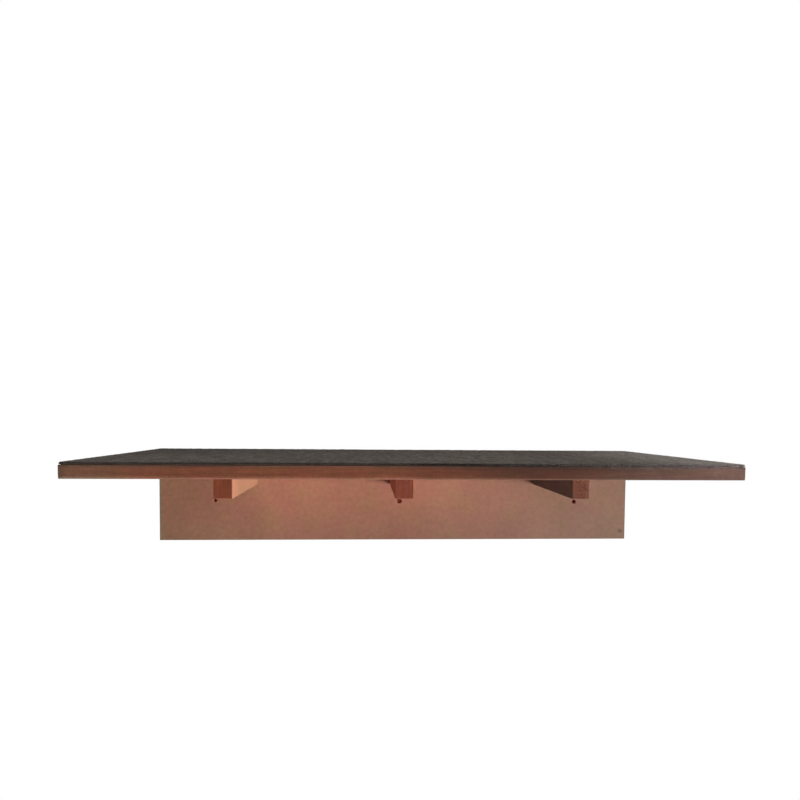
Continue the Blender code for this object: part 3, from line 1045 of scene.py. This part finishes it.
def make_camera():
    yaw, pitch = math.radians(CAMERA_YAW), math.radians(CAMERA_PITCH)
    ahead = Vector((math.sin(yaw) * math.cos(pitch), math.cos(yaw) * math.cos(pitch), math.sin(pitch)))
    turn = ahead.to_track_quat("-Z", "Y").to_matrix() @ Matrix.Rotation(math.radians(CAMERA_ROLL), 3, "Z")
    data = bpy.data.cameras.new("camera")
    data.lens = LENS_MM
    data.shift_x, data.shift_y = SHIFT
    data.clip_start = CLIP_START
    camera = add_object("camera", data)
    camera.matrix_world = Matrix.Translation(CAMERA_PLACE) @ turn.to_4x4()
    bpy.context.scene.camera = camera


def make_lamps():
    """A key lamp low on the right lights the boards from beside and below. The others are weaker."""
    for name, place, diameter, power in LAMPS:
        data = bpy.data.lights.new(name, "AREA")
        data.shape = "DISK"
        data.size = diameter
        data.energy = power
        lamp = add_object(name, data)
        lamp.location = place
        lamp.rotation_euler = (Vector(LAMP_TARGET) - Vector(place)).to_track_quat("-Z", "Y").to_euler()
        lamp.visible_camera = False


def seen_ray(tree):
    """1 on a ray that shows a surface to the camera, straight or by a reflection or through glass."""
    path = tree.nodes.new("ShaderNodeLightPath")
    found = path.outputs["Is Camera Ray"]
    for output in ("Is Glossy Ray", "Is Transmission Ray"):
        most = tree.nodes.new("ShaderNodeMath")
        most.operation = "MAXIMUM"
        tree.links.new(found, most.inputs[0])
        tree.links.new(path.outputs[output], most.inputs[1])
        found = most.outputs[0]
    return found


def make_world():
    """White where it is seen, and a weak, slightly cool light on the shelf."""
    world = bpy.data.worlds.new("studio")
    bpy.context.scene.world = world
    world.use_nodes = True
    tree = world.node_tree
    colour = tree.nodes.new("ShaderNodeMix")
    colour.data_type = "RGBA"
    tree.links.new(seen_ray(tree), colour.inputs[0])
    colour.inputs[6].default_value = (*AMBIENT, 1)
    colour.inputs[7].default_value = WHITE
    tree.links.new(colour.outputs[2], tree.nodes["Background"].inputs["Color"])


def make_floor():
    """A pale floor that keeps the shelf's shadow and fades to plain white away from it."""
    shader = Shader("floor")
    x, y, _ = shader.parts(shader.node("TexCoord").outputs["Object"])
    far = shader.ramp(shader.length(shader.joined(x, y, 0.0)), *SHADOW_REACH)
    white = shader.node("Emission", Color=WHITE, Strength=1.0).outputs[0]
    shader.finish(srgb(238, 238, 238), 0.9)
    lit = shader.surface.outputs[0]
    seen = shader.blended(far, shader.blended(SHADOW_SHARE, white, lit), white)
    material = shader.wear(shader.blended(seen_ray(shader.tree), lit, seen))
    corners = [(-1, -1), (1, -1), (1, 1), (-1, 1)]
    points = [(a * FLOOR_REACH, b * FLOOR_REACH, FLOOR_HEIGHT) for a, b in corners]
    floor = add_scenery("floor", points, [(0, 1, 2, 3)], material)


def make_wall_spots():
    """The bits of wall right behind the wall holes, seen dark through them, with a faint painted glow.

    They can't be seen from behind.
    """
    shader = Shader("wall_spots")
    # The emission is a painted glow standing in for the little light that reaches the wall through the
    # holes.
    shader.finish(srgb(214, 186, 168), 0.9, Emission_Color=srgb(66, 34, 25), Emission_Strength=1.0)
    clear = shader.node("BsdfTransparent").outputs[0]
    from_behind = shader.node("NewGeometry").outputs["Backfacing"]
    shadow_ray = shader.node("LightPath").outputs["Is Shadow Ray"]
    hidden = shader.product(from_behind, shader.math("SUBTRACT", 1.0, shadow_ray))
    material = shader.wear(shader.blended(hidden, shader.surface.outputs[0], clear))
    wall_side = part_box("back_board")[1].y + WALL_GAP
    points, faces = [], []
    for opening in OPENINGS:
        middle = drilled_middle(opening)
        faces.append(list(range(len(points), len(points) + HOLE_SEGMENTS)))
        for across, upward, _ in circle(WALL_SPOT_RADIUS, 0):
            points.append((middle.x + across, wall_side, middle.z + upward))
    spots = add_scenery("wall_spots", points, faces, material)


def finish_screws():
    steel = steel_material()
    for name in screws_in("screw"):
        for place in frame["nodes"][name].material_slots:
            place.material = steel


bpy.context.scene.view_settings.view_transform = "Standard"
make_camera()
make_world()
make_lamps()
make_floor()
make_wall_spots()
make_boards()
finish_screws()
carpet = make_carpet()
carpet_low, carpet_high = (np.array(corner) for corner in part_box("deck_carpet"))
pile = make_pile(carpet_low, carpet_high)
fringe = make_fringe(carpet_low, carpet_high)
